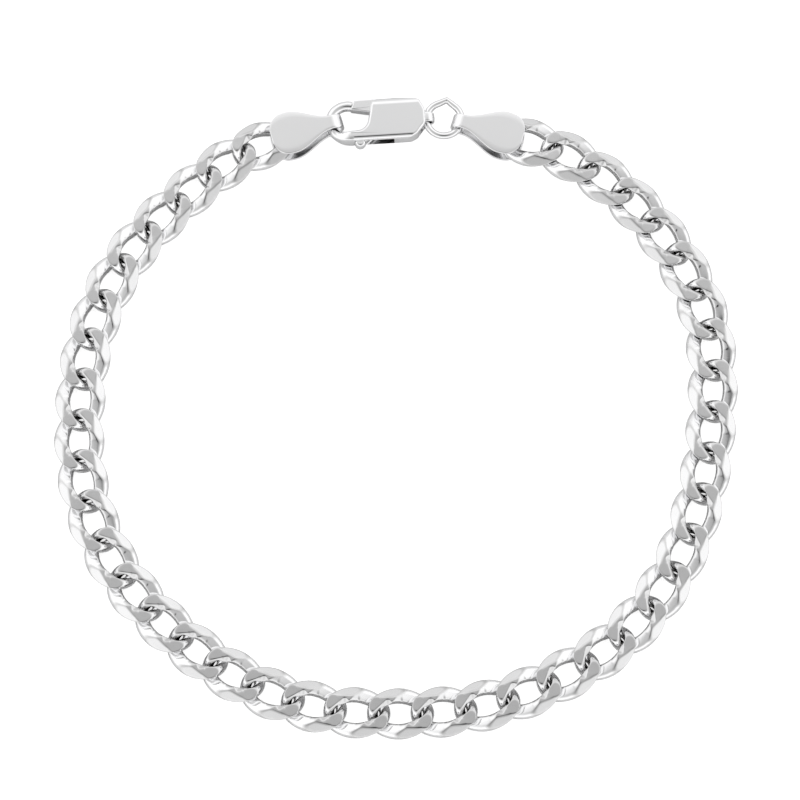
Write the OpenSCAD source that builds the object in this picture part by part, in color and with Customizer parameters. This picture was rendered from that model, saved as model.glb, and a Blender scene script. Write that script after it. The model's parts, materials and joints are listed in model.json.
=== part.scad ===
// Flat curb link bracelet, closed by a lobster clasp, lying on a table in a near circle.
// Millimetres, +Z up. The origin is the middle of the loop at table height, and the clasp is at +Y.
// Link 1 follows the jump ring's end cap, and the links are counted clockwise seen from above.

/* [Chain] */
// Number of links
link_count = 41; // [38:1:44]
// Distance from one crossing of two links to the next
link_pitch = 4.35; // [4.3:0.05:4.6]
// Outer width of a link, across the chain
link_w = 5.15; // [5.1:0.05:5.5]
// Thickness of the wire at the link's two ends
wire_d = 1.1; // [1:0.01:1.12]
// Width of the wire at the link's two sides
side_d = 1.24; // [1.1:0.01:1.3]
// Play between two linked ends
end_play = 0.15; // [0.13:0.01:0.2]
// How far the wire's centre rises and falls over the middle plane
twist_rise = 0.7; // [0.69:0.01:0.74]
// Thickness of the chain between its two cut faces
chain_t = 1.7; // [1.6:0.02:1.8]
// Width of the flat between the bevels
flat_w = 3.1; // [2.8:0.1:3.4]
// Slope of the bevels
bevel_angle = 30; // [24:1:36]

/* [End caps] */
// Length of an end cap, from its round end to its fold
cap_l = 7.7; // [7.4:0.1:9]
// Width of the round end
cap_w = 4.6; // [4.2:0.1:5]
// Width of the neck and of the fold
neck_w = 1.5; // [1.3:0.05:1.6]
// Straight length of the neck, from the fold
neck_l = 1.2; // [1.1:0.1:1.6]
// Distance from the fold to the widest place
cap_belly = 5.55; // [5:0.05:6]
// How full the round end is: 2 is an ellipse
cap_fullness = 2.6; // [2:0.1:3]
// Thickness of the sheet
sheet_t = 0.3; // [0.25:0.05:0.35]
// How far the cap reaches over its link, past the last crossing
cap_over = 1.2; // [1:0.1:1.4]
// Room between the sheet and the link's cut faces
cap_clear = 0.04; // [0.03:0.01:0.08]
// Thickness of the rivet that holds the link
rivet_d = 0.8; // [0.7:0.05:0.9]
// Room between the rivet and the link
rivet_clear = 0.07; // [0.06:0.01:0.1]
// Number of links over which the chain rises to the cap
lift_links = 6; // [5:1:8]

/* [Jump ring] */
// Outside diameter of the ring
ring_d = 4.4; // [4.3:0.1:4.8]
// Thickness of the ring's wire
ring_wire = 0.75; // [0.65:0.05:0.8]
// Slack between the ring and the fold of its cap
ring_play = 0.28; // [0.26:0.02:0.6]
// How far the ring's middle lies towards the thumb's side
ring_side = 0.2; // [0:0.05:0.2]
// How far the ring's wire lies off the middle of the eye's hole
ring_set = 0.07; // [0:0.01:0.09]
// How far the ring's cap points away from the clasp's line
ring_cap_turn = 20; // [15:1:24]

/* [Clasp] */
// Thickness of the clasp's body
clasp_t = 2.1; // [2:0.05:2.3]
// Thickness of the walls above and below the lever
shell_t = 0.4; // [0.35:0.05:0.45]
// Distance from the ring's hole to the middle of the hook
hook_reach = 8.3; // [8.2:0.1:9]
// Radius of the hook, to the middle of its wire
hook_r = 1.78; // [1.74:0.01:1.86]
// Thickness of the hook's wire
hook_wire = 1.1; // [1:0.05:1.15]
// How far the hook's middle lies towards the lever's side
hook_side = 0.08; // [0:0.02:0.12]
// How far the hook's flat arm reaches up from the thumb's side
flat_arm = 1.3; // [1.1:0.1:1.5]
// Slack between the hook and the fold of its cap
hook_play = 0.44; // [0.42:0.02:0.6]
// How far the hook's cap points away from the clasp's line
hook_cap_turn = 12; // [6:1:14]
// Length of the opening past the middle of the hook
mouth_l = 0.95; // [0.8:0.05:1.1]
// Width of the clasp's body
body_w = 4.7; // [4.65:0.05:4.85]
// Where the body starts to thin, past the middle of the hook
thin_start = 0.3; // [0.1:0.1:0.6]
// Length over which it thins towards the hook
thin_l = 1.3; // [1:0.1:1.6]
// Rounding of the long edge on the lever's side
far_round = 0.95; // [0.6:0.05:1]
// Rounding of the long edge on the thumb's side
near_round = 0.5; // [0.4:0.05:0.9]
// Radius of the eye for the ring, outside
eye_r = 0.78; // [0.76:0.02:0.84]
// Radius of the eye's hole
eye_hole_r = 0.52; // [0.5:0.02:0.54]
// Width of the eye
eye_w = 1; // [0.8:0.05:1.05]
// Length of the neck that joins the eye to the body
eye_neck = 0.6; // [0.5:0.05:0.7]

/* [Lever] */
// Distance from the ring's hole to the lever's pivot
pivot_reach = 4.7; // [4.6:0.05:4.8]
// Distance from the clasp's middle line to the pivot
pivot_side = 1.25; // [1.2:0.05:1.3]
// Width of the metal round the pivot, in front of the lever's round middle
pivot_wall = 0.4; // [0.3:0.05:0.45]
// Radius of the pivot post
post_r = 0.35; // [0.3:0.01:0.38]
// Room between the post and the lever's bore
bore_clear = 0.05; // [0.03:0.01:0.08]
// Radius of the lever's round middle
boss_r = 0.75; // [0.7:0.01:0.78]
// Width of the lever's thumb arm
arm_w = 0.8; // [0.7:0.05:0.85]
// How far the thumb arm's elbow lies in front of the pivot
elbow_reach = 0.55; // [0.5:0.05:0.6]
// How far the elbow lies towards the thumb's side
elbow_side = 0.7; // [0.65:0.05:0.75]
// How far the thumb knob lies in front of the pivot
knob_reach = 2.4; // [2.3:0.05:2.5]
// Radius of the thumb knob
knob_r = 0.58; // [0.5:0.02:0.62]
// Room above and below the lever
lever_clear = 0.08; // [0.05:0.01:0.1]
// Room around the lever over its whole swing
swing_room = 0.1; // [0.08:0.01:0.12]
// Where the slit starts inside the hook, past the hook's middle
slit_start = 0.3; // [0.2:0.05:0.4]
// Where the slit ends outside the hook, past the hook's middle
slit_end = 0.74; // [0.6:0.02:0.8]
// Slit between the hook's tip and the lever's tip
tip_gap = 0.08; // [0.06:0.01:0.12]
// How far the gate lies inside the body's outline
gate_drop = 0.1; // [0.08:0.01:0.15]
// Angle that the lever opens through
lever_open = 25; // [15:1:25]

/* [Hidden] */
$fn = 48;

// Overlap of joined shapes, how far a cut stands proud, and the length of a cut right through
join = 0.01;
proud = 1;
through = 20;

// One link's shape: half axes of the wire's middle line, and its stations and sides
wire_r = wire_d / 2;
link_a = (link_pitch + wire_d + end_play) / 2;
link_b = link_w / 2 - side_d / 2;
stations = 16;
sides = 6;

// The cap's inside height follows the chain, and the caps' middle plane carries the clasp
cap_gap = chain_t + 2 * cap_clear;
cap_t = cap_gap + 2 * sheet_t;
mid_z = cap_t / 2;
cap_reach = cap_l - cap_over;
cap_lift = mid_z - chain_t / 2;

// The clasp's own frame: the ring's hole at the origin, the hook towards -X, the lever's side +Y
hook_x = -hook_reach;
hook_y = hook_side;
mouth_x = hook_x + mouth_l;
hook_in = hook_r - hook_wire / 2;
hook_out = hook_r + hook_wire / 2;
near_y = hook_y - body_w / 2;
far_y = hook_y + body_w / 2;
pivot = [-pivot_reach, pivot_side];
slot_h = clasp_t - 2 * shell_t;
lever_t = slot_h - 2 * lever_clear;
front_r = boss_r + pivot_wall;
ring_r = (ring_d - ring_wire) / 2;
ring_mid = [ring_r - ring_set, -ring_side];

// The slit runs from the hook's inside to its outside, and the lever's tip follows it
slit_in = [hook_x + slit_start, hook_y + hook_in];
slit_out = [hook_x + slit_end, hook_y + hook_out];
// The thumb arm bends round the opening on its way to the knob
elbow = [pivot[0] - elbow_reach, -elbow_side];
knob = [pivot[0] - knob_reach, near_y];

// The body's end beside the eye, from its far side to its near side, as shares of
// the hook's distance and of half the body's width
// along, across
tail = [
    [0.53, 1], [0.09, 0.82], [0.02, 0.31], [0.02, -0.35], [0.07, -0.54], [0.13, -0.84], [0.23, -1]
];

// Where the gate's inner edge leaves the lever's round middle
root_angle = 222;

// The hook's wire runs from within the slit's cut, which trims it, down to the flat arm
wire_from = 60;
wire_to = 270;

// Where the two caps' crossings lie in the clasp's frame
function turned(a) = [cos(a), sin(a)];
hook_fold = [hook_x - hook_in + hook_play, hook_y] + sheet_t * turned(hook_cap_turn);
hook_end = hook_fold - cap_reach * turned(hook_cap_turn);
ring_fold_r = ring_r - ring_wire / 2 - ring_play - sheet_t;
ring_end = ring_mid + (ring_fold_r + cap_reach) * turned(-ring_cap_turn);
clasp_span = norm(ring_end - hook_end);
clasp_slope = atan2(ring_end[1] - hook_end[1], ring_end[0] - hook_end[0]);

// The loop's route: how far it bulges from a circle, as a share of its radius,
// every 15 degrees clockwise from the clasp's middle
bulge = [
    -0.065, -0.060, -0.012, 0.007, 0.017, 0.016, -0.012, -0.014,
    0.005, 0.014, -0.001, -0.010, -0.023, -0.008, -0.001, 0.005,
    0.021, 0.020, 0.003, 0.004, -0.003, -0.023, -0.021, -0.048
];
bulge_step = 360 / len(bulge);

// How the loop's radius is found: steps of refinement, a first guess of the angle to
// the clasp's end, and the shares of the guessed radius that it lies between
refinements = 5;
halvings = 30;
clasp_half_angle = 22;
least_share = 0.96;
most_share = 1.06;

// Smooth curve through four neighbouring values
function curve4(a, b, c, d, t) =
    b + t * (c - a) / 2 + t * t * (a - 2.5 * b + 2 * c - d / 2)
    + t * t * t * (1.5 * b - a / 2 - 1.5 * c + d / 2);
function bulge_at(i) = bulge[(i + 2 * len(bulge)) % len(bulge)];
function route_share(th) =
    let (k = floor(th / bulge_step), t = th / bulge_step - k)
    1 + curve4(bulge_at(k - 1), bulge_at(k), bulge_at(k + 1), bulge_at(k + 2), t);
function route_point(r, th) = r * route_share(th) * [sin(th), cos(th)];

// Angle of the next crossing, one pitch further along the route
function closer(r, th, step, n) =
    n == 0 ? th + step
    : closer(r, th, step * link_pitch / norm(route_point(r, th + step) - route_point(r, th)), n - 1);
function walk(r, th, n) =
    n == 0 ? [th] : concat([th], walk(r, closer(r, th, link_pitch / r * 180 / PI, refinements), n - 1));
function first_angle(r) = asin(clasp_span / 2 / (r * route_share(clasp_half_angle)));
function walk_from(r) = walk(r, first_angle(r), link_count);
// How much wider the gap between the two ends is than the clasp: it grows with the radius
function gap_error(r) =
    let (w = walk_from(r), gap = 360 - w[link_count] + w[0])
    sign(gap) * norm(route_point(r, w[0]) - route_point(r, w[link_count])) - clasp_span;
function solve_radius(lo, hi, n) =
    let (m = (lo + hi) / 2)
    n == 0 ? m : gap_error(m) > 0 ? solve_radius(lo, m, n - 1) : solve_radius(m, hi, n - 1);
loop_guess = (link_count * link_pitch + clasp_span) / (2 * PI);
loop_r = solve_radius(loop_guess * least_share, loop_guess * most_share, halvings);

// The crossings, their heights near the caps, and the two places that the clasp joins
angles = walk_from(loop_r);
crossings = [for (th = angles) route_point(loop_r, th)];
function ease(i) = let (s = 1 - max(0, i - 1) / lift_links) s > 0 ? s * s : 0;
function lift(i) = cap_lift * (ease(i) + ease(link_count - i));
clasp_turn = atan2(crossings[0][1] - crossings[link_count][1], crossings[0][0] - crossings[link_count][0])
    - clasp_slope;
function spin(p, a) = [p[0] * cos(a) - p[1] * sin(a), p[0] * sin(a) + p[1] * cos(a)];
clasp_at = crossings[link_count] - spin(hook_end, clasp_turn);

// Middle and heading of each link, and the loop's middle
function link_mid(i) = (crossings[i - 1] + crossings[i]) / 2;
function link_turn(i) = atan2(crossings[i - 1][1] - crossings[i][1], crossings[i - 1][0] - crossings[i][0]);
function rim(i) = [
    for (k = [0 : stations - 1])
    let (p = k * 360 / stations)
    link_mid(i) + spin(middle_line(p) + wire_radius(p) * outward(p), link_turn(i))
];
rims = concat(
    [for (i = [1 : link_count]) each rim(i)],
    [for (p = [[hook_x, hook_y + hook_out], [-pivot_reach, far_y]]) clasp_at + spin(p, clasp_turn)]
);
rim_x = [for (p = rims) p[0]];
rim_y = [for (p = rims) p[1]];
loop_mid = [(min(rim_x) + max(rim_x)) / 2, (min(rim_y) + max(rim_y)) / 2];

function link_name(i) = str("link_", i < 10 ? "0" : "", i);

// The wire's middle line is an oval that rises at one side of each end and falls at the other
function middle_line(p) = [link_a * cos(p), link_b * sin(p)];
function middle_rise(p) = -twist_rise * sin(2 * p);
function wire_radius(p) = (wire_d + (side_d - wire_d) * pow(sin(p), 2)) / 2;
function outward(p) = let (n = [link_b * cos(p), link_a * sin(p)]) n / norm(n);
function along(p) =
    let (t = [-link_a * sin(p), link_b * cos(p), -2 * twist_rise * cos(2 * p)]) t / norm(t);
function station(p) =
    let (
        m = [middle_line(p)[0], middle_line(p)[1], middle_rise(p)],
        n = [outward(p)[0], outward(p)[1], 0],
        b = cross(along(p), n)
    )
    [for (j = [0 : sides - 1]) let (q = j * 360 / sides) m + wire_radius(p) * (cos(q) * n + sin(q) * b)];

// The twisted wire, as a closed tube
module twisted_wire() {
    points = [for (k = [0 : stations - 1]) each station(k * 360 / stations)];
    faces = [
        for (k = [0 : stations - 1], j = [0 : sides - 1])
        let (
            k2 = (k + 1) % stations,
            j2 = (j + 1) % sides,
            a = k * sides + j,
            b = k * sides + j2,
            c = k2 * sides + j2,
            d = k2 * sides + j
        )
        each [[a, c, b], [a, d, c]]
    ];
    polyhedron(points, faces);
}

// The bar that the finished chain is cut to: two flats and four bevels
module cut_bar() {
    side = flat_w / 2 + (chain_t / 2) / tan(bevel_angle);
    rotate([90, 0, 90])
        linear_extrude(height = 4 * link_a, center = true)
            polygon([
                [-flat_w / 2, chain_t / 2], [-side, 0], [-flat_w / 2, -chain_t / 2],
                [flat_w / 2, -chain_t / 2], [side, 0], [flat_w / 2, chain_t / 2]
            ]);
}

// One link in its place on the route
module link(i) {
    slope = atan2(lift(i - 1) - lift(i), link_pitch);
    at = link_mid(i) - loop_mid;
    color("silver")
        translate([at[0], at[1], chain_t / 2 + (lift(i - 1) + lift(i)) / 2])
            rotate([0, 0, link_turn(i)])
                rotate([0, -slope, 0])
                    intersection() {
                        twisted_wire();
                        cut_bar();
                    }
}

// Puts what is drawn in the clasp's frame in its place in the loop
module in_clasp() {
    at = clasp_at - loop_mid;
    translate([at[0], at[1], mid_z])
        rotate([0, 0, clasp_turn])
            children();
}

// Outline of an end cap from above: the last crossing at the origin, the fold towards +X
function cap_half(s) =
    s < neck_l ? neck_w / 2
    : s < cap_belly ? let (t = (s - neck_l) / (cap_belly - neck_l))
        neck_w / 2 + (cap_w - neck_w) / 2 * t * t * (3 - 2 * t)
    : let (t = min(1, (s - cap_belly) / (cap_l - cap_belly)))
        cap_w / 2 * pow(1 - pow(t, cap_fullness), 1 / cap_fullness);
cap_stops = concat(
    [0],
    [for (t = [0 : 0.125 : 1]) neck_l + t * (cap_belly - neck_l)],
    [for (a = [15 : 15 : 90]) cap_belly + sin(a) * (cap_l - cap_belly)]
);
module cap_outline() {
    upper = [for (s = cap_stops) [cap_reach - s, cap_half(s)]];
    lower = [for (k = [len(cap_stops) - 2 : -1 : 0]) [cap_reach - cap_stops[k], -cap_half(cap_stops[k])]];
    polygon(concat(upper, lower));
}

// Side of the folded sheet: two leaves joined by a half round fold
module cap_side() {
    fold = cap_reach - cap_t / 2;
    difference() {
        union() {
            translate([fold, 0])
                circle(d = cap_t);
            translate([-cap_over - proud, -cap_t / 2])
                square([fold + cap_over + proud, cap_t]);
        }
        translate([fold, 0])
            circle(d = cap_gap);
        translate([-cap_over - 2 * proud, -cap_gap / 2])
            square([fold + cap_over + 2 * proud, cap_gap]);
    }
}

// One end cap, with the rivet that passes through its link
module end_cap() {
    rivet_x = link_a - wire_r - link_pitch / 2 - rivet_clear - rivet_d / 2;
    intersection() {
        rotate([90, 0, 0])
            linear_extrude(height = cap_w + proud, center = true)
                cap_side();
        linear_extrude(height = cap_t + proud, center = true)
            cap_outline();
    }
    translate([rivet_x, 0, 0])
        cylinder(d = rivet_d, h = cap_gap + sheet_t, center = true);
}

module end_cap_ring() {
    color("silver")
        in_clasp()
            translate([ring_end[0], ring_end[1], 0])
                rotate([0, 0, 180 - ring_cap_turn])
                    end_cap();
}

module end_cap_hook() {
    color("silver")
        in_clasp()
            translate([hook_end[0], hook_end[1], 0])
                rotate([0, 0, hook_cap_turn])
                    end_cap();
}

module jump_ring() {
    color("silver")
        in_clasp()
            translate([ring_mid[0], ring_mid[1], 0])
                rotate_extrude()
                    translate([ring_r, 0])
                        circle(d = ring_wire);
}

// Outline of the clasp's body and hook from above, before its openings are cut
module body_outline() {
    front = pivot[0] - front_r;
    polygon(concat(
        [[hook_x, near_y], [hook_x, hook_y], [front, hook_y], [front, far_y]],
        [for (t = tail) [-t[0] * hook_reach, hook_y + t[1] * body_w / 2]]
    ));
    translate(pivot)
        circle(r = front_r);
}

// Lower arm of the hook: it thickens from the hook's wire to the body
module arm_outline() {
    intersection() {
        translate([hook_x, hook_y])
            difference() {
                circle(r = hook_out);
                circle(r = hook_in);
            }
        translate([hook_x - through, near_y - proud])
            square([through, proud + flat_arm]);
    }
}

// Side of the clasp: full height at the body, thinner towards the hook
module clasp_side() {
    thick = clasp_t / 2;
    thin = hook_wire / 2;
    from = hook_x + thin_start;
    to = from - thin_l;
    front = hook_x - hook_out - proud;
    polygon([
        [proud, -thick], [proud, thick], [from, thick], [to, thin],
        [front, thin], [front, -thin], [to, -thin], [from, -thick]
    ]);
}

// End view of the body: flat above and below, with rounded long edges
module clasp_section() {
    for (m = [-1, 1]) {
        translate([near_y + near_round, m * (clasp_t / 2 - near_round)])
            circle(r = near_round);
        translate([far_y - far_round, m * (clasp_t / 2 - far_round)])
            circle(r = far_round);
    }
    translate([near_y + near_round, -clasp_t / 2])
        square([far_y - near_y - near_round - far_round, clasp_t]);
    translate([near_y, near_round - clasp_t / 2])
        square([near_round + join, clasp_t - 2 * near_round]);
    translate([far_y - far_round - join, far_round - clasp_t / 2])
        square([far_round + join, clasp_t - 2 * far_round]);
}

// The opening that the hook and the body surround
module mouth() {
    translate([hook_x, hook_y])
        circle(r = hook_in);
    translate([mouth_x, hook_y])
        circle(r = hook_in);
    translate([hook_x, hook_y - hook_in])
        square([mouth_l, 2 * hook_in]);
}

// The gap in the far side that the lever's tip closes
module gate_window() {
    back = pivot[0] - boss_r / 2;
    difference() {
        polygon([
            slit_in, slit_out, 2 * slit_out - slit_in, [back, far_y + proud],
            [back, hook_y], [slit_in[0], hook_y]
        ]);
        translate(pivot)
            circle(r = front_r);
    }
}

// Where a point of the lever stands when the lever is open
function swung(p) = pivot + spin(p - pivot, lever_open);

// The room inside the body that the lever swings in: round its middle, out through
// the far side for the gate, and out through the near side for the thumb arm
module lever_room() {
    inner = mouth_x + hook_in / 2;
    back = max(boss_r, swung(elbow)[0] - pivot[0] + arm_w / 2) + swing_room;
    low = swung(elbow)[1] - arm_w / 2;
    knob_front = knob[0] - knob_r - swing_room;
    knob_back = swung(elbow)[0] + swing_room;
    translate([inner, low])
        square([pivot[0] + back - inner, pivot[1] + boss_r + swing_room - low]);
    translate([inner, pivot[1]])
        square([pivot[0] + swing_room - inner, far_y + proud - pivot[1]]);
    polygon([
        [inner, low + arm_w / 2], [knob_front, near_y + knob_r], [knob_front, near_y - through],
        [knob_back, near_y - through], [knob_back, near_y], [pivot[0] + back, low]
    ]);
}

// Upper part of the hook: a round wire from the slit to the lower arm
module hook_wire_part() {
    difference() {
        translate([hook_x, hook_y, 0])
            rotate([0, 0, wire_from])
                rotate_extrude(angle = wire_to - wire_from)
                    translate([hook_r, 0])
                        circle(d = hook_wire);
        linear_extrude(height = 3 * hook_wire, center = true)
            gate_window();
    }
}

module clasp_body() {
    color("silver")
        in_clasp() {
            difference() {
                intersection() {
                    linear_extrude(height = clasp_t + proud, center = true)
                        difference() {
                            union() {
                                body_outline();
                                arm_outline();
                            }
                            mouth();
                            gate_window();
                        }
                    rotate([90, 0, 90])
                        linear_extrude(height = 2 * through, center = true)
                            clasp_section();
                    rotate([90, 0, 0])
                        linear_extrude(height = 2 * through, center = true)
                            clasp_side();
                }
                linear_extrude(height = slot_h, center = true)
                    lever_room();
                rotate([90, 0, 0])
                    cylinder(r = eye_hole_r, h = through, center = true);
            }
            hook_wire_part();
            clasp_eye();
            translate([pivot[0], pivot[1], 0])
                cylinder(r = post_r, h = slot_h + shell_t, center = true);
        }
}

// The eye that the jump ring passes through
module clasp_eye() {
    rotate([90, 0, 0])
        linear_extrude(height = eye_w, center = true)
            difference() {
                union() {
                    circle(r = eye_r);
                    translate([-eye_neck, -eye_r])
                        square([eye_neck, 2 * eye_r]);
                }
                circle(r = eye_hole_r);
            }
}

// A straight bar with round ends
module round_bar(p, q, w) {
    d = q - p;
    translate(p)
        circle(d = w);
    translate(q)
        circle(d = w);
    translate(p)
        rotate([0, 0, atan2(d[1], d[0])])
            translate([0, -w / 2])
                square([norm(d), w]);
}

module lever_outline() {
    slit_dir = (slit_out - slit_in) / norm(slit_out - slit_in);
    back = tip_gap * [slit_dir[1], -slit_dir[0]];
    tip_in = slit_in + back;
    tip_out = slit_out + back - gate_drop * slit_dir;
    polygon([
        tip_in, pivot + boss_r * turned(root_angle), pivot, pivot + boss_r * turned(90),
        [pivot[0] - boss_r, far_y - gate_drop], tip_out
    ]);
    translate(pivot)
        circle(r = boss_r);
    round_bar(pivot, elbow, arm_w);
    round_bar(elbow, knob, arm_w);
    translate(knob)
        circle(r = knob_r);
}

module clasp_lever() {
    color("gainsboro")
        in_clasp()
            difference() {
                linear_extrude(height = lever_t, center = true)
                    lever_outline();
                translate([pivot[0], pivot[1], 0])
                    cylinder(r = post_r + bore_clear, h = 2 * lever_t, center = true);
            }
}

for (i = [1 : link_count]) link(i);
end_cap_ring();
end_cap_hook();
jump_ring();
clasp_body();
clasp_lever();
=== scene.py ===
"""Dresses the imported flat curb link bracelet: round twisted wire links cut flat, folded sheet
caps, a kinked jump ring and a lobster clasp, all in polished silver on a pale floor."""

import json
from functools import partial

import bpy
import numpy as np
from mathutils import Euler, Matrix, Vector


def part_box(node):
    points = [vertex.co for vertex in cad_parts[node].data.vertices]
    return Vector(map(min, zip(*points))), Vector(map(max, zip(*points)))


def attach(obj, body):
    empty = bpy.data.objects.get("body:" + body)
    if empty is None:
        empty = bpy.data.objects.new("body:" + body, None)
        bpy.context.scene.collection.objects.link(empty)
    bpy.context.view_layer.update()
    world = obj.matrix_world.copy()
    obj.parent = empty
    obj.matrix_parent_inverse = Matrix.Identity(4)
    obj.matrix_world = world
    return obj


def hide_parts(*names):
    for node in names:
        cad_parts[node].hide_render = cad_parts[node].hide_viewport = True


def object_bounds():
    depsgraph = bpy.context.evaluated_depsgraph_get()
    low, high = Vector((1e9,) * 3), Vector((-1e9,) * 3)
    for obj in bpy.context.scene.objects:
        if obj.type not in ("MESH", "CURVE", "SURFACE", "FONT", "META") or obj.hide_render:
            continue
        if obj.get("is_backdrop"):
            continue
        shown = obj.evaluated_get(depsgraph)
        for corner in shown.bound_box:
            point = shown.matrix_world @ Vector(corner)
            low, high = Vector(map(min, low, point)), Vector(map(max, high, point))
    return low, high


bl_info = {
    "name": "Curb Link Bracelet",
    "version": (1, 0, 0),
    "blender": (4, 5, 0),
    "location": "View3D > Sidebar > Bracelet",
    "description": "Makes the silver pieces of a flat curb link bracelet around its fixed frame",
    "category": "Add Mesh",
}

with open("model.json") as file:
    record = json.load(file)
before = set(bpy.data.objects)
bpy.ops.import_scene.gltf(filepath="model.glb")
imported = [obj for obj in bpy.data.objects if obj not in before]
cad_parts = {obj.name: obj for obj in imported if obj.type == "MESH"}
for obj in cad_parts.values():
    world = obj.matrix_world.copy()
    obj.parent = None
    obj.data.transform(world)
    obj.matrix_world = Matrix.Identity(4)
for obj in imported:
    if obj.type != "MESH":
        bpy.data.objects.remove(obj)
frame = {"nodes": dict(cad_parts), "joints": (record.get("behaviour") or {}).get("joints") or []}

MM = 0.001
LINKS = sorted(n for n in frame["nodes"] if n.startswith("link_"))
CHAIN_BODY = "bracelet"
LEVER_BODY = "lever"

# The marks that the meshes carry for the materials, which darken them with painted shade
CUT = "cut"
EDGE_SHADE = "edge"
HOLLOW_SHADE = "hollow"
# The flat's mark gives it more painted shade than the bevel's
FLAT_MARK = 1.0
BEVEL_MARK = 0.5

# Limits of the shapes: points nearer than the weld are one, and a plane far off cuts nothing
WELD = 1e-8
TINY = 1e-6
LEAST_SHARE = 1e-3
FAR_OFF = 1.0
LEAST_STEP = 0.002 * MM
LEAST_END = 0.2
SHARP_ANGLE = np.radians(50)

# How many points the meshes have: directions of a wire's section, points of a sheet's corner
# and flat, and of a rim, a bar's end and a round. Rings of a flat are shares of its width.
DIRECTIONS = 1441
CORNER_STEPS = 7
FLAT_STEPS = 8
RIM_STEPS = 6
END_STEPS = 5
ROUND_STEPS = 40
FLAT_RINGS = np.array([0, 0.6, 0.97])[:, None, None]
END_RINGS = np.array([0, 0.5])

# The power of a full oval that is a round
ROUND_POWER = 2

# Where a link's wire spreads, is grooved and darkens, each from the first value to the second
CUT_SPREAD = (0.15, 0.5)
FAR_SPREAD = (0.3, 0.8)
SPREAD_TURN = (0.35, 0.8)
GROOVE_REACH = (0.25, 0.6)
# Painted shade on the wire's side that faces the hole: its turns, depths below the flats and ends
INWARD_TURN = (0.6, 0.95)
CREVICE_DEPTH = (0.2 * MM, 0.45 * MM)
CREVICE_END = (0.7, 0.9)
EVEN_HOLLOW_SHADE = 0.3

# Steps along a cap from its round end to its fold, and round the jump ring and its wire
TIP_STEPS = 8
OVAL_STEPS = 30
OVAL_START = 0.1
SHOULDER_STEPS = 26
NECK_STEPS = 3
FOLD_STEPS = 26
RING_STEPS = 192
WIRE_STEPS = 32

# Places in the clasp's own frame, in millimetres: its eye is the origin, its hook at -X
PIVOT = (-4.7, 1.25)
PIVOT_TO_RING = (6.455, -1.45)
NEAR_SIDE = -2.27
FAR_SIDE = 2.43

# The two sheets of its body, from the far side round the pivot and the mouth to the tail
FAR_START = (-4.4, FAR_SIDE)
CHEEK_RADIUS = 1.15
CHEEK_TURN = (95, 185)
CHEEK_FOOT = (-6, 0.5)
MOUTH = (-7.35, 0.08)
MOUTH_RADIUS = 1.23
ARM = [(-8.3, -1.15), (-8.3, NEAR_SIDE)]
TAIL = [(-1.91, NEAR_SIDE), (-1.08, -1.89), (-0.58, -1.19), (-0.166, -0.74), (-0.166, 0.81),
        (-0.747, 2.007)]
SHEET_MIDDLE = (-4.5, -1.6)
SHEET_CORNER = 0.35
SHEET_POINTS = 260
SHEET_STEPS = 18

# The core between the sheets
CORE_START = [(-3.6, FAR_SIDE), (-3.6, NEAR_SIDE)]
CORE_TAIL = [(-1.91, NEAR_SIDE), (-1.08, -1.89), (-0.68, -1.19), (-0.62, 0.81), (-0.8, 1.98)]
CORE_MIDDLE = (-2.2, 0)
CORE_CORNER = 0.2
CORE_POINTS = 160
CORE_STEPS = 15
CORE_LAP = 1.005

# The hook, whose middle line is an arc from the slit to the body's arm, and the eye and post
HOOK = (-8.3, 0.08)
HOOK_RADIUS = 1.78
HOOK_GROWTH = (-1.4, 0.2)
HOOK_STEPS = 60
HOOK_DISH = 0.08
SLIT_ANGLE = 75.5
ARM_END = -7.79
ARM_STEPS = 14
ARM_EASE = 0.006
ARM_POWER = 5
EYE_RADIUS = 0.65
EYE_WALL = 0.26
EYE_WIDTH = 1
EYE_POWER = 5
EYE_STEPS = (48, 24)
POST_RADIUS = 0.35

# The lever: its gate from the tip round the pivot and back, its thumb arm and its knob
BOSS_RADIUS = 0.75
BOSS_TURN = (222, 450)
BOSS_STEPS = 24
GATE = [(-7.926, 1.28)]
GATE_BACK = [(-5.45, 2.33), (-7.523, 2.288)]
GATE_MIDDLE = (-5.5, 1.5)
GATE_CORNER = 0.12
GATE_POINTS = 160
THUMB_ROOT = (-4.8, 0.9)
ELBOW = (-5.25, -0.7)
ELBOW_CORNER = 0.5
THUMB_STEPS = 40
THUMB_POWER = 5
THUMB_EASE = 0.004
THUMB_DISH = 0.05
KNOB = (-7.1, -2.27)
KNOB_STEPS = 49
KNOB_RISE = 0.05
KNOB_ROUNDING = 0.5

# Colours of clean silver and of its painted shade, and the marks that polishing leaves
SILVER = (0.93, 0.93, 0.935)
PAINTED_SHADE_COLOUR = (0.12, 0.115, 0.11)
SCRATCH_WAYS = ((0.35, 14), (-1.1, 18))
SCRATCH_TILT = (0.3, 0.2)
SCRATCH_LENGTH = 1.5 * MM
SCRATCH_GRAIN = {"Detail": 2, "Roughness": 0.6}
SCRATCH_RANGE = (0.55, 0.72)
SCRATCH_DEPTH = 0.002 * MM
SCRATCH_STRENGTH = 0.3
CLOUD_SIZE = 2.2 * MM
CLOUD_GRAIN = {"Detail": 3, "Roughness": 0.55}
CLOUD_RANGE = (0.35, 0.65)
# Outside the clouds the painted shade is this share of its full depth
LEAST_PAINTED_SHADE = 0.75
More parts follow.
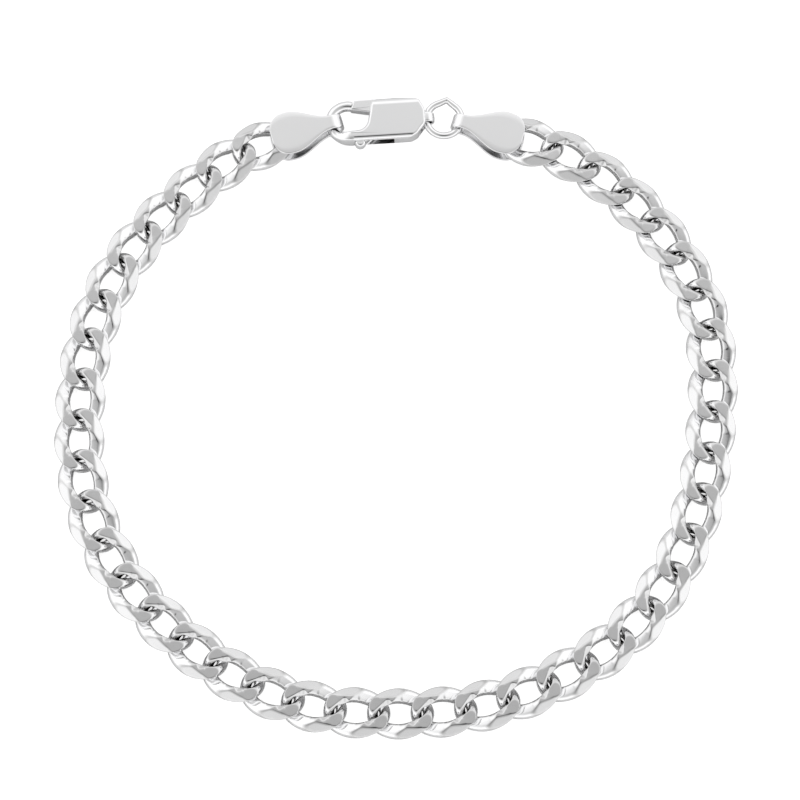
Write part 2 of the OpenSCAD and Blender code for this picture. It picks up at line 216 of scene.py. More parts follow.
# A finish's hollow, edge and cut are the depths of painted shade on those marks
FINISHES = {
    "link_silver": dict(smooth=0.07, worn=0.13, scratches=0.6, hollow=0.95, edge=0.45, cut=0.25),
    "cap_silver": dict(smooth=0.12, worn=0.17, scratches=0.5, hollow=0.5, edge=0.3, cut=0),
    "ring_silver": dict(smooth=0.06, worn=0.1, scratches=0.3, hollow=0.6, edge=0, cut=0),
    "clasp_silver": dict(smooth=0.12, worn=0.16, scratches=0.4, hollow=0.5, edge=0.3, cut=0),
    "lever_silver": dict(smooth=0.1, worn=0.15, scratches=0.4, hollow=0.5, edge=0.3, cut=0),
}

# The colour sockets of a Mix node, which share their names with its other sockets
MIX_FIRST = 6
MIX_SECOND = 7
MIX_RESULT = 2

# The camera's film, in millimetres, and the nearest that it sees
SENSOR_WIDTH = 36
NEAREST = 10 * MM

# The floor and the light. Each light has its height over the plane across the line of sight,
# in degrees, and its value.
FLOOR_HALF = 1.5
FLOOR_DEPTH = 0.005 * MM
FLOOR_GLOW = 0.75
FLOOR_ROUGHNESS = 0.6
FLOOR_SPECULAR = 0.2
WORLD_LIGHT = [(0, 0.995), (20, 1.15), (38, 1.12), (49, 0.9), (60, 0.6), (68, 0.54), (76, 0.46),
               (80, 0.2), (83.5, 0.012)]
BEHIND_RANGE = (0.72, 0.97)
BEHIND_LIGHT = 0.8

length_setting = partial(bpy.props.FloatProperty, unit="LENGTH", precision=5)
angle_setting = partial(bpy.props.FloatProperty, subtype="ANGLE")


class ChainSettings(bpy.types.PropertyGroup):
    wire_end: length_setting(
        name="Wire at the ends", description="Thickness of the wire where two links meet",
        default=1.1 * MM, min=0.9 * MM, max=1.15 * MM)
    wire_side: length_setting(
        name="Wire at the sides", description="Width of the wire along the link's two sides",
        default=1.24 * MM, min=1.1 * MM, max=1.3 * MM)
    twist_rise: length_setting(
        name="Twist", description="How far the wire's centre rises and falls over the middle plane",
        default=0.7 * MM, min=0.6 * MM, max=0.75 * MM)
    twist_lead: angle_setting(
        name="Twist lead", description="How far the highest places are moved to the link's ends",
        default=0.14, min=0, max=0.4)
    flat_width: length_setting(
        name="Flat", description="Width of the flat between the bevels",
        default=3.1 * MM, min=2.8 * MM, max=3.4 * MM)
    bevel_angle: angle_setting(
        name="Bevel", description="Slope of the bevels",
        default=np.radians(30), min=np.radians(24), max=np.radians(36))
    inward: length_setting(
        name="Inward spread", description="How far the pressed wire spreads towards the hole",
        default=0.3 * MM, min=0, max=0.4 * MM)
    shoulder: length_setting(
        name="Shoulder", description="How far the cut side spreads towards the neighbouring link",
        default=0.65 * MM, min=0, max=0.7 * MM)
    slit_angle: angle_setting(
        name="Slit angle", description="Turn of the slit between two links from the chain's line",
        default=np.radians(46), min=np.radians(35), max=np.radians(60))
    groove: length_setting(
        name="Groove", description="Distance from the middle of the slit to the edge of the flat",
        default=0.34 * MM, min=0.1 * MM, max=0.5 * MM)
    groove_slope: angle_setting(
        name="Groove slope", description="Slope of the groove's two sides",
        default=np.radians(38), min=np.radians(20), max=np.radians(60))
    inward_fullness: bpy.props.FloatProperty(
        name="Inward fullness", description="How square the inner half of a side's section is",
        default=2.8, min=2, max=4)
    edge_rounding: length_setting(
        name="Edge rounding", description="How far the polished edges are rounded",
        default=0.08 * MM, min=0.02 * MM, max=0.15 * MM)
    # The edge line is painted shade along the cut edges, not a mark of polishing
    edge_shade_line: length_setting(
        name="Edge line", description="Reach of the dark line that polishing leaves at the edges",
        default=0.16 * MM, min=0.05 * MM, max=0.3 * MM)
    stations: bpy.props.IntProperty(
        name="Stations", description="Sections round one link", default=160, min=48, max=200)
    section_points: bpy.props.IntProperty(
        name="Section points", description="Points round one section", default=60, min=24, max=80)


class CapSettings(bpy.types.PropertyGroup):
    sheet: length_setting(
        name="Sheet", description="Thickness of the sheet",
        default=0.3 * MM, min=0.2 * MM, max=0.4 * MM)
    neck_width: length_setting(
        name="Neck width", description="Width of the neck and of the fold",
        default=1.5 * MM, min=1.3 * MM, max=1.6 * MM)
    neck_length: length_setting(
        name="Neck length", description="Straight length of the neck, from the fold",
        default=1.2 * MM, min=1.1 * MM, max=1.6 * MM)
    belly: length_setting(
        name="Widest place", description="Distance from the fold to the widest place",
        default=5.55 * MM, min=5 * MM, max=6 * MM)
    fullness: bpy.props.FloatProperty(
        name="Fullness", description="How full the round end is: 2 is an ellipse",
        default=2.6, min=2, max=3)
    edge_rounding: length_setting(
        name="Edge rounding", description="Rounding of the sheet's edges",
        default=0.12 * MM, min=0.05 * MM, max=0.15 * MM)
    rivet: length_setting(
        name="Rivet", description="Thickness of the rivet that holds the link",
        default=0.8 * MM, min=0.7 * MM, max=0.9 * MM)
    rivet_reach: length_setting(
        name="Rivet place", description="Distance from the cap's round end to the rivet's axis",
        default=1.32 * MM, min=1 * MM, max=1.6 * MM)


class RingSettings(bpy.types.PropertyGroup):
    kink_angle: angle_setting(
        name="Kink place", description="Where the soldered corner lies, from the clasp's line",
        default=np.radians(78), min=0, max=np.radians(180))
    kink_spread: angle_setting(
        name="Kink spread", description="How far the straight sides of the corner reach",
        default=np.radians(31), min=0, max=np.radians(40))


class ClaspSettings(bpy.types.PropertyGroup):
    thickness: length_setting(
        name="Body thickness", description="Height of the body",
        default=2.1 * MM, min=1.8 * MM, max=2.2 * MM)
    shell: length_setting(
        name="Shell", description="Thickness of the body's upper and lower sheets",
        default=0.4 * MM, min=0.3 * MM, max=0.45 * MM)
    rim: length_setting(
        name="Rim", description="Rounding of the body's rim",
        default=0.28 * MM, min=0.1 * MM, max=0.35 * MM)
    far_rounding: length_setting(
        name="Far rounding", description="Rounding of the long edge on the gate's side",
        default=0.95 * MM, min=0.6 * MM, max=1 * MM)
    near_rounding: length_setting(
        name="Near rounding", description="Rounding of the long edge on the knob's side",
        default=0.5 * MM, min=0.4 * MM, max=0.9 * MM)
    hook_wire: length_setting(
        name="Hook wire", description="Thickness of the hook's wire",
        default=1.1 * MM, min=0.9 * MM, max=1.2 * MM)
    lever_height: length_setting(
        name="Lever height", description="Height of the lever, within the slot",
        default=1.14 * MM, min=1 * MM, max=1.2 * MM)
    lever_rim: length_setting(
        name="Lever rim", description="Rounding of the lever's edges",
        default=0.12 * MM, min=0.05 * MM, max=0.2 * MM)
    arm_width: length_setting(
        name="Arm width", description="Width of the lever's thumb arm",
        default=0.8 * MM, min=0.6 * MM, max=0.9 * MM)
    knob: length_setting(
        name="Knob", description="Radius of the thumb knob",
        default=0.58 * MM, min=0.5 * MM, max=0.65 * MM)


class StageSettings(bpy.types.PropertyGroup):
    elevation: angle_setting(
        name="Camera elevation", description="Height angle of the camera over the floor",
        default=np.radians(74.7), min=0, max=np.radians(90))
    distance: bpy.props.FloatProperty(
        name="Camera distance", description="Distance from the camera to the aim",
        default=338.9 * MM, min=100 * MM, max=1000 * MM, unit="LENGTH")
    aim: bpy.props.FloatVectorProperty(
        name="Aim", description="The point that the camera looks at",
        default=(0.36 * MM, 1.22 * MM, 0.85 * MM), unit="LENGTH", precision=5)
    roll: angle_setting(
        name="Camera roll", description="How far the camera is turned about its line of sight",
        default=np.radians(-0.3), min=np.radians(-5), max=np.radians(5))
    lens: bpy.props.FloatProperty(
        name="Lens", description="Focal length of the camera", default=149.4, min=50, max=300)
    floor_colour: bpy.props.FloatVectorProperty(
        name="Floor", description="Colour of the floor", default=(0.8, 0.8, 0.8),
        subtype="COLOR", min=0, max=1)


def settings(name):
    """One of the add-on's groups of settings."""
    return getattr(bpy.context.scene, name)


SETTINGS = {
    "bracelet_chain": ChainSettings,
    "bracelet_cap": CapSettings,
    "bracelet_ring": RingSettings,
    "bracelet_clasp": ClaspSettings,
    "bracelet_stage": StageSettings,
}


def solid_frame(node):
    """Centre, axes (longest first, as rows) and two local corners of a CAD node.

    The centre and the axes come from the solid's volume, summed over the tetrahedra between
    the origin and each triangle: a tetrahedron's second moment is its volume / 20 times the
    sum of the outer products of its corners and of their sum.
    """
    mesh = frame["nodes"][node].data
    mesh.calc_loop_triangles()
    points = np.empty(len(mesh.vertices) * 3)
    mesh.vertices.foreach_get("co", points)
    points = points.reshape(-1, 3)
    corners = np.empty(len(mesh.loop_triangles) * 3, dtype=np.int32)
    mesh.loop_triangles.foreach_get("vertices", corners)
    start = points.mean(0)
    tri = points[corners].reshape(-1, 3, 3) - start
    volume = np.einsum("ij,ij->i", tri[:, 0], np.cross(tri[:, 1], tri[:, 2])) / 6
    corner_sum = tri.sum(1)
    middle = (volume[:, None] * corner_sum / 4).sum(0) / volume.sum()
    second = np.einsum("i,ij,ik->jk", volume, corner_sum, corner_sum)
    second += np.einsum("i,inj,ink->jk", volume, tri, tri)
    spread = second / 20 / volume.sum() - np.outer(middle, middle)
    _, columns = np.linalg.eigh(spread)
    axes = columns[:, ::-1].T
    axes[2] *= np.sign(axes[2, 2])
    axes[1] = np.cross(axes[2], axes[0])
    local = (points - start - middle) @ axes.T
    return start + middle, axes, local.min(0), local.max(0)


def half_turned(axes, low, high):
    """A solid's axes and local corners after half a turn about its Z axis."""
    turned = axes * np.array([[-1], [-1], [1]])
    return turned, np.array([-high[0], -high[1], low[2]]), np.array([-low[0], -low[1], high[2]])


def link_frame(node):
    """The solid's frame of a link, with its Y axis away from the wrist."""
    centre, axes, low, high = solid_frame(node)
    wrist = np.mean(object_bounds(), 0)
    if (centre - wrist)[:2] @ axes[1, :2] < 0:
        axes, low, high = half_turned(axes, low, high)
    return centre, axes, low, high


def link_spacing(frames):
    """The middle values of the pitch of the links and of the turn from one to the next."""
    centres = np.array([centre for centre, *_ in frames])
    along = np.array([axes[0] for _, axes, *_ in frames])
    pitches = np.linalg.norm(np.diff(centres, axis=0), axis=1)
    turns = np.arccos(np.clip((along[1:] * along[:-1]).sum(1), -1, 1))
    return np.median(pitches), np.median(turns)


def grid_faces(rows, columns, closed_rows=False):
    """Quads of a grid whose columns close on themselves, and whose rows do too if asked."""
    row = np.arange(rows if closed_rows else rows - 1)[:, None]
    column = np.arange(columns)[None, :]
    next_row = (row + 1) % rows
    next_column = (column + 1) % columns
    corners = (
        row * columns + column,
        row * columns + next_column,
        next_row * columns + next_column,
        next_row * columns + column,
    )
    return np.stack(np.broadcast_arrays(*corners), -1).reshape(-1, 4)


def weld(points, faces):
    """One point for each place, the faces that use them, and the first index of each place.

    A quad with two corners in one place becomes a triangle, and a narrower one goes.
    """
    _, first, where = np.unique(np.round(points / WELD).astype(np.int64), axis=0,
                                return_index=True, return_inverse=True)
    faces = where.ravel()[faces]
    same = faces == np.roll(faces, -1, axis=1)
    narrow = same.sum(1) == 1
    kept = (same[narrow].argmax(1)[:, None] + np.arange(1, 4)) % 4
    triangles = np.take_along_axis(faces[narrow], kept, 1)
    return points[first], faces[same.sum(1) == 0].tolist() + triangles.tolist(), first


def outward(points, faces):
    """The faces, turned round if the closed surface that they make has a negative volume."""
    corner = points[faces[:, :3]]
    volume = np.einsum("ij,ij->", corner[:, 0], np.cross(corner[:, 1], corner[:, 2]))
    corner = points[faces[:, [0, 2, 3]]]
    volume += np.einsum("ij,ij->", corner[:, 0], np.cross(corner[:, 1], corner[:, 2]))
    return faces if volume > 0 else faces[:, ::-1]


def make_mesh(name, points, faces, marks=None):
    """A smooth, welded mesh that faces outwards, with its marks as point attributes."""
    mesh = bpy.data.meshes.new(name)
    points, faces, first = weld(points, outward(points - points.mean(0), faces))
    mesh.from_pydata(points, [], faces)
    mesh.shade_smooth()
    for label, values in (marks or {}).items():
        attribute = mesh.attributes.new(label, "FLOAT", "POINT")
        attribute.data.foreach_set("value", values[first].astype(np.float32).ravel())
    return mesh


def add_piece(mesh, body, material, node):
    """Puts a finished mesh in the scene as the piece that stands for a CAD node."""
    piece = bpy.data.objects.new(mesh.name, mesh)
    bpy.context.scene.collection.objects.link(piece)
    mesh.materials.append(material)
    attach(piece, body)
    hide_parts(node)


def smooth_step(value, start, end):
    """0 up to the start, 1 from the end on, and a smooth step between."""
    share = np.clip((value - start) / (end - start), 0, 1)
    return share ** 2 * (3 - 2 * share)


def soft_least(first, second, rounding):
    """The lesser of two values, with a parabolic fillet where they are nearly equal.

    Also says where the second value is the lesser one.
    """
    near = np.clip(1 - np.abs(first - second) / rounding, 0, 1)
    least = np.minimum(first, second) - near ** 2 * rounding / 4
    return least, second < first


def wire_line(chain, a, b):
    """The wire's middle line at each station p, and the line's two cross directions.

    The line is (a cos p, b sin p, -rise sin t), with t = 2p + 2 lead sin 2p, so that it dives
    steeply at the link's ends and gently at its sides.
    """
    p = np.linspace(0, 2 * np.pi, chain.stations, endpoint=False)
    twist = 2 * p + 2 * chain.twist_lead * np.sin(2 * p)
    dive = -chain.twist_rise * np.cos(twist) * (2 + 4 * chain.twist_lead * np.cos(2 * p))
    middle = np.stack([a * np.cos(p), b * np.sin(p), -chain.twist_rise * np.sin(twist)], -1)
    along = np.stack([-a * np.sin(p), b * np.cos(p), dive], -1)
    along /= np.linalg.norm(along, axis=1, keepdims=True)
    out = np.stack([b * np.cos(p), a * np.sin(p), 0 * p], -1)
    out /= np.linalg.norm(out, axis=1, keepdims=True)
    return p, middle, out, np.cross(along, out)


def uncut_reach(chain, p, level, turn):
    """How far the wire reaches from its middle line along each direction, before the cuts.

    A section is a full oval, |u / across|^n + |v / radius|^n = 1. Its inner half is wider and
    squarer at the link's sides, where the wire was pressed, and its cut side spreads further
    towards the neighbouring link.
    """
    radius = (chain.wire_end + (chain.wire_side - chain.wire_end) * np.sin(p) ** 2)[:, None] / 2
    inner = np.cos(turn) < 0
    from_end = np.abs(np.sin(p))[:, None]
    far_share = smooth_step(from_end, *FAR_SPREAD)
    cut_share = smooth_step(from_end, *CUT_SPREAD)
    on_cut = smooth_step(np.sin(turn) * np.sign(level)[:, None], *SPREAD_TURN)
    share = far_share + on_cut * (cut_share - far_share)
    spread_in = chain.inward + on_cut * (chain.shoulder - chain.inward)
    across = radius + spread_in * share * inner
    power = ROUND_POWER + (chain.inward_fullness - ROUND_POWER) * share * inner
    return (np.abs(np.cos(turn) / across) ** power
            + np.abs(np.sin(turn) / radius) ** power) ** (-1 / power)


def cutting_planes(chain, p, level, half_height, pitch, bend):
    """The planes that cut a link: its two flats, its four bevels and the side of each groove.

    A groove lies at each crossing, half a pitch from the link's middle, at one of its ends and
    on one of its levels. The slit runs there at the slit's angle, turned by half the bend
    between two links. Each plane has its normal, its distance from the link's middle, its mark
    and the share in which each station is cut by it.
    """
    sine, cosine = np.sin(chain.bevel_angle), np.cos(chain.bevel_angle)
    bevel_reach = chain.flat_width / 2 * sine + half_height * cosine
    whole = np.ones(len(p))
    planes = [((0, 0, side), half_height, FLAT_MARK, whole) for side in (-1, 1)]
    planes += [((0, across * sine, side * cosine), bevel_reach, BEVEL_MARK, whole)
               for across in (-1, 1) for side in (-1, 1)]
    for end in (-1, 1):
        crossing = np.array([end * np.cos(bend / 2), -np.sin(bend / 2), 0]) * pitch / 2
        at_end = smooth_step(np.cos(p) * end, *GROOVE_REACH)
        for side in (-1, 1):
            slit = side * chain.slit_angle - end * bend / 2
            wall = end * side * np.array([-np.sin(slit), np.cos(slit), 0])
            normal = np.sin(chain.groove_slope) * wall + [0, 0, side * np.cos(chain.groove_slope)]
            on_flat = crossing - chain.groove * wall + [0, 0, side * half_height]
            planes.append((normal, on_flat @ normal, 0.0, at_end * (level * side > 0)))
    return planes


def cut_reach(chain, reach, planes, middle, direction):
    """The reach along each direction after the cuts, with the marks of cuts and of painted edge
    shade.

    It is the wire's own reach or the nearest plane's, whichever is less, with a fillet between.
    """
    cut = np.zeros_like(reach)
    edge = np.zeros_like(reach)
    for normal, distance, mark, share in planes:
        facing = direction @ np.array(normal)
        room = (distance - middle @ np.array(normal))[:, None]
        share = share[:, None]
        to_plane = np.where(facing > TINY, room / np.maximum(facing, TINY), FAR_OFF)
        to_plane = np.maximum(to_plane, 0) / np.maximum(share, LEAST_SHARE)
        to_plane = np.where(share > 0, to_plane, FAR_OFF)
        # The edge mark: a painted dark line where the wire's reach comes near a plane's
        line = np.clip(1 - np.abs(reach - to_plane) / chain.edge_shade_line, 0, 1)
        reach, nearer = soft_least(reach, to_plane, chain.edge_rounding)
        cut = np.where(nearer, mark, cut)
        edge = np.maximum(edge * (1 - nearer), line)
    return reach, cut, edge


def even_places(section, count):
    """Where each section's points lie in its long row of directions, as places between two.

    Half of the points follow the section's length and half its turning.
    """
    rows, columns, _ = section.shape
    step = np.diff(section, axis=1)
    length = np.linalg.norm(step, axis=2)
    heading = np.unwrap(np.arctan2(step[..., 1], step[..., 0]), axis=1)
    curl = np.abs(np.diff(heading, axis=1, append=heading[:, :1] + 2 * np.pi))
    weight = length / length.sum(1, keepdims=True) + curl / curl.sum(1, keepdims=True)
    weight = weight + np.roll(weight, 1, 1) + np.roll(weight, -1, 1)
    travelled = np.cumsum(weight, 1) / weight.sum(1, keepdims=True)
    travelled = np.concatenate([np.zeros((rows, 1)), travelled], 1)
    row = np.arange(rows)[:, None]
    wanted = np.arange(count) / count + 2 * row
    column = np.arange(columns) + row * columns
    place = np.interp(wanted.ravel(), (travelled + 2 * row).ravel(), column.ravel())
    return place.reshape(rows, count) - row * columns


def sample(values, place):
    """Each row's values at places between its columns."""
    lower = np.clip(np.floor(place).astype(int), 0, values.shape[1] - 2)
    first = np.take_along_axis(values, lower, 1)
    second = np.take_along_axis(values, lower + 1, 1)
    return first + (place - lower) * (second - first)


def cut_wire(chain, low, high, pitch, bend):
    """One link in its own axes: a twisted oval of round wire with its flats, bevels and grooves.

    Its marks are the cuts, the edges and the hollows, all darkened by painted shade. A hollow
    faces the link's hole; its painted shade is deepest below the flats and near the link's ends.
    """
    half_length, half_width, half_height = (high - low) / 2
    p, middle, out, up = wire_line(
        chain, half_length - chain.wire_end / 2, half_width - chain.wire_side / 2)
    level = middle[:, 2]
    turn = np.linspace(0, 2 * np.pi, DIRECTIONS)
    direction = (np.cos(turn)[None, :, None] * out[:, None, :]
                 + np.sin(turn)[None, :, None] * up[:, None, :])
    planes = cutting_planes(chain, p, level, half_height, pitch, bend)
    reach, cut, edge = cut_reach(
        chain, uncut_reach(chain, p, level, turn), planes, middle, direction)
    section = np.stack([reach * np.cos(turn), reach * np.sin(turn)], -1)
    place = even_places(section, chain.section_points)
    u, v = sample(section[..., 0], place), sample(section[..., 1], place)
    points = (middle[:, None, :] + u[..., None] * out[:, None, :]
              + v[..., None] * up[:, None, :])
    cut, edge = sample(cut, place), sample(edge, place)
    # Hollow mark: painted shade on the side facing the hole, deepest when sunk below the flats near
    # the ends
    inward = smooth_step(-np.cos(sample(turn + 0 * reach, place)), *INWARD_TURN) * (1 - cut)
    sunk = smooth_step(half_height - np.abs(points[..., 2]), *CREVICE_DEPTH)
    near_end = 1 - smooth_step(np.abs(np.sin(p))[:, None], *CREVICE_END)
    hollow = np.maximum(EVEN_HOLLOW_SHADE * inward, inward * sunk * near_end)
    faces = grid_faces(len(p), chain.section_points, closed_rows=True)
    return points.reshape(-1, 3), faces, {
        CUT: cut.ravel(), EDGE_SHADE: edge.ravel(), HOLLOW_SHADE: hollow.ravel()}


def rounded_strip(path, across, lift, half_width, half_sheet, rounding, end_room):
    """A sheet strip carried along a path, with rounded edges and rounded ends.

    At each point of the path the profile is a rectangle of the strip's width and thickness
    with arcs at its corners. Near an end the thickness falls along a quarter circle.
    """
    quarter = np.repeat(np.arange(4), CORNER_STEPS) * np.pi / 2
    turn = np.tile(np.linspace(0, np.pi / 2, CORNER_STEPS), 4) + quarter
    side = np.sign(np.cos(quarter + np.pi / 4))
    rise = np.sign(np.sin(quarter + np.pi / 4))
    flat_steps = np.linspace(1, -1, FLAT_STEPS)[1:-1]
    room = np.clip(end_room, 0, rounding)
    fallen = half_sheet - rounding + np.sqrt(rounding ** 2 - (rounding - room) ** 2)
    fallen = np.maximum(fallen, LEAST_END * half_sheet * room / rounding)
    thickness = np.where(end_room >= rounding, half_sheet, fallen)
    corner = np.minimum(np.minimum(rounding, half_width), thickness)
    y = (half_width - corner)[:, None] * side + corner[:, None] * np.cos(turn)
    h = (thickness - corner)[:, None] * rise + corner[:, None] * np.sin(turn)
    top = (half_width - corner)[:, None] * flat_steps
    top_h = np.repeat(thickness[:, None], flat_steps.size, 1)
    first, last = CORNER_STEPS, 3 * CORNER_STEPS
    y = np.concatenate([y[:, :first], top, y[:, first:last], -top, y[:, last:]], 1)
    h = np.concatenate([h[:, :first], top_h, h[:, first:last], -top_h, h[:, last:]], 1)
    points = (path[:, None, :] + y[..., None] * across[:, None, :]
              + h[..., None] * lift[:, None, :])
    return points.reshape(-1, 3), grid_faces(len(path), y.shape[1])


class BRACELET_OT_links(bpy.types.Operator):
    """Makes the round wire of every link, cut flat and bevelled, in the place of its solid."""
    bl_idname = "bracelet.links"
    bl_label = "Links"

    def execute(self, context):
        chain = settings("bracelet_chain")
        material = silver("link_silver")
        frames = [link_frame(node) for node in LINKS]
        _, _, low, high = frames[0]
        points, faces, marks = cut_wire(chain, low, high, *link_spacing(frames))
        shape = make_mesh("link_shape", points, faces, marks)
        points = np.empty(len(shape.vertices) * 3)
        shape.vertices.foreach_get("co", points)
        points = points.reshape(-1, 3)
        for node, (centre, axes, *_) in zip(LINKS, frames):
            mesh = shape.copy()
            mesh.name = node + "_wire"
            mesh.vertices.foreach_set("co", (centre + points @ axes).astype(np.float32).ravel())
            mesh.update()
            add_piece(mesh, CHAIN_BODY, material, node)
        bpy.data.meshes.remove(shape)
        return {"FINISHED"}


class BRACELET_OT_caps(bpy.types.Operator):
    """Folds the two sheet caps over the chain's ends, each with its rivet."""
    bl_idname = "bracelet.caps"
    bl_label = "End caps"

    def execute(self, context):
        material = silver("cap_silver")
        for node in ("end_cap_ring", "end_cap_hook"):
            make_cap(node, material)
        return {"FINISHED"}


def make_cap(node, material):
    """A cap in the place of its node: a folded strip, with its rivet."""
    cap = settings("bracelet_cap")
    centre, axes, low, high = solid_frame(node)
    target = np.array(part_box("clasp_body")).mean(0)
    if (target - centre)[:2] @ axes[0, :2] < 0:
        axes, low, high = half_turned(axes, low, high)
    length = high[0] - low[0]
    half_height = (high[2] - low[2]) / 2
    path, lift = cap_path(cap, length, half_height)
    across = np.broadcast_to([0.0, 1.0, 0.0], path.shape)
    half_width = cap_half_width(cap, length - path[:, 0], length, high[1])
    half_width[[0, -1]] = 0
    sheet = rounded_strip(path, across, lift, half_width, cap.sheet / 2, cap.edge_rounding,
                          path[:, 0])
    pin, pin_faces = round_pin(cap.rivet / 2, half_height - cap.sheet / 2)
    points, faces = fused(sheet, (pin + [cap.rivet_reach, 0, 0], pin_faces))
    round_end = (low + high) / 2
    round_end[0] = low[0]
    mesh = make_mesh(node + "_sheet", centre + (round_end + points) @ axes, faces)
    mesh.set_sharp_from_angle(angle=SHARP_ANGLE)
    add_piece(mesh, CHAIN_BODY, material, node)


def cap_path(cap, length, half_height):
    """A cap's middle line and the direction out of its sheet.

    The line runs along the upper leaf from its round end, round the fold and back along the
    lower leaf. Its points stand close together at the round end.
    """
    sheet_z = half_height - cap.sheet / 2
    fold_x = length - half_height
    tip = cap.edge_rounding * (1 - np.cos(np.linspace(0, np.pi / 2, TIP_STEPS)))
    oval = (length - cap.belly) * (1 - np.cos(np.linspace(OVAL_START, np.pi / 2, OVAL_STEPS)))
    shoulder = np.linspace(length - cap.belly, length - cap.neck_length, SHOULDER_STEPS)
    neck = np.linspace(length - cap.neck_length, fold_x, NECK_STEPS)
    x = np.unique(np.concatenate([tip, oval, shoulder, neck]))
    x = x[np.concatenate([[True], np.diff(x) > LEAST_STEP])]
    bend = np.linspace(np.pi / 2, -np.pi / 2, FOLD_STEPS)[1:-1]
    along = np.concatenate([x, fold_x + sheet_z * np.cos(bend), x[::-1]])
    height = np.concatenate([0 * x + sheet_z, sheet_z * np.sin(bend), 0 * x - sheet_z])
    lift_x = np.concatenate([0 * x, np.cos(bend), 0 * x])
    lift_z = np.concatenate([0 * x + 1, np.sin(bend), 0 * x - 1])
    return np.stack([along, 0 * along, height], -1), np.stack([lift_x, 0 * along, lift_z], -1)


def cap_half_width(cap, from_fold, length, widest):
    """A cap's half width: a smooth step from the neck to the widest place, and then a quarter
    of a full oval down to the round end."""
    rise = smooth_step(from_fold, cap.neck_length, cap.belly)
    half_width = cap.neck_width / 2 + (widest - cap.neck_width / 2) * rise
    past = np.clip((from_fold - cap.belly) / (length - cap.belly), 0, 1)
    oval = np.maximum(1 - past ** cap.fullness, 0) ** (1 / cap.fullness)
    return np.where(from_fold > cap.belly, widest * oval, half_width)


def round_pin(radius, half_height):
    """A closed round pin along Z: four rings, the outer two shrunk to a point."""
    angle = np.linspace(0, 2 * np.pi, ROUND_STEPS, endpoint=False)
    rings = np.array([[0, -1], [1, -1], [1, 1], [0, 1]])
    ring = np.stack([np.cos(angle), np.sin(angle)], -1) * radius
    points = np.concatenate([
        rings[:, 0, None, None] * ring[None],
        np.broadcast_to(rings[:, 1, None, None] * half_height, (4, angle.size, 1)),
    ], -1).reshape(-1, 3)
    return points, grid_faces(4, angle.size)


class BRACELET_OT_ring(bpy.types.Operator):
    """Makes the jump ring of round wire, with the corner at its soldered joint."""
    bl_idname = "bracelet.ring"
    bl_label = "Jump ring"

    def execute(self, context):
        points, faces = kinked_ring(settings("bracelet_ring"))
        mesh = make_mesh("jump_ring_wire", points, faces)
        add_piece(mesh, CHAIN_BODY, silver("ring_silver"), "jump_ring")
        return {"FINISHED"}


def kinked_ring(ring):
    """Round wire on a circle, which it leaves along two tangents that meet at the corner.

    On a tangent the reach is the radius / cos(angle past the tangent's start).
    """
    low, high = (np.array(corner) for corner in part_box("jump_ring"))
    centre, half = (low + high) / 2, (high - low) / 2
    wire = half[2]
    radius = (half[0] + half[1]) / 2 - wire
    angle = np.linspace(0, 2 * np.pi, RING_STEPS, endpoint=False)
    from_kink = np.abs((angle - ring.kink_angle - clasp_turn() + np.pi) % (2 * np.pi) - np.pi)
    past = np.maximum(ring.kink_spread - from_kink, 0)
    section = np.linspace(0, 2 * np.pi, WIRE_STEPS, endpoint=False)
    distance = (radius / np.cos(past))[:, None] + wire * np.cos(section)
    points = np.stack([
        centre[0] + distance * np.cos(angle)[:, None],
        centre[1] + distance * np.sin(angle)[:, None],
        centre[2] + 0 * distance + wire * np.sin(section),
    ], -1)
    return points.reshape(-1, 3), grid_faces(angle.size, section.size, closed_rows=True)


def clasp_turn():
    """How far the clasp's line is turned from X: from the lever's pivot to the ring's middle,
    less the angle that this line has in the clasp's own frame."""
    pivot = np.array(frame["joints"][0]["pos_m"])[:2]
    low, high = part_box("jump_ring")
    ring = (np.array(low) + np.array(high))[:2] / 2
    to_ring = ring - pivot
    return np.arctan2(to_ring[1], to_ring[0]) - np.arctan2(PIVOT_TO_RING[1], PIVOT_TO_RING[0])


def rounded_line(corners, rounding, count, closed=False):
    """Evenly spaced points through the corners, which are rounded.

    Each point is the mean of the line over the rounding, weighted by a raised cosine. Past its
    ends a closed line goes on round itself, and an open one is turned about them.
    """
    line = np.concatenate([corners, corners[:1]]) if closed else corners
    travelled = np.concatenate([[0], np.cumsum(np.linalg.norm(np.diff(line, axis=0), axis=1))])
    place = np.linspace(0, travelled[-1], count, endpoint=not closed)
    reach = int(np.ceil(rounding / travelled[-1] * count))
    weight = np.hanning(2 * reach + 3)[1:-1]
    weight /= weight.sum()
    sides = []
    for k in (0, 1):
        side = np.interp(place, travelled, line[:, k])
        before = side[-reach:] if closed else 2 * side[0] - side[reach:0:-1]
        after = side[:reach] if closed else 2 * side[-1] - side[-2:-reach - 2:-1]
        sides.append(np.convolve(np.concatenate([before, side, after]), weight, "valid"))
    return np.stack(sides, -1)


def arc(centre, radius, start, end, count=12):
    """Points of an arc, by its centre, its radius and its two angles in degrees."""
    angle = np.radians(np.linspace(start, end, count))
    return np.asarray(centre) + radius * np.stack([np.cos(angle), np.sin(angle)], -1)


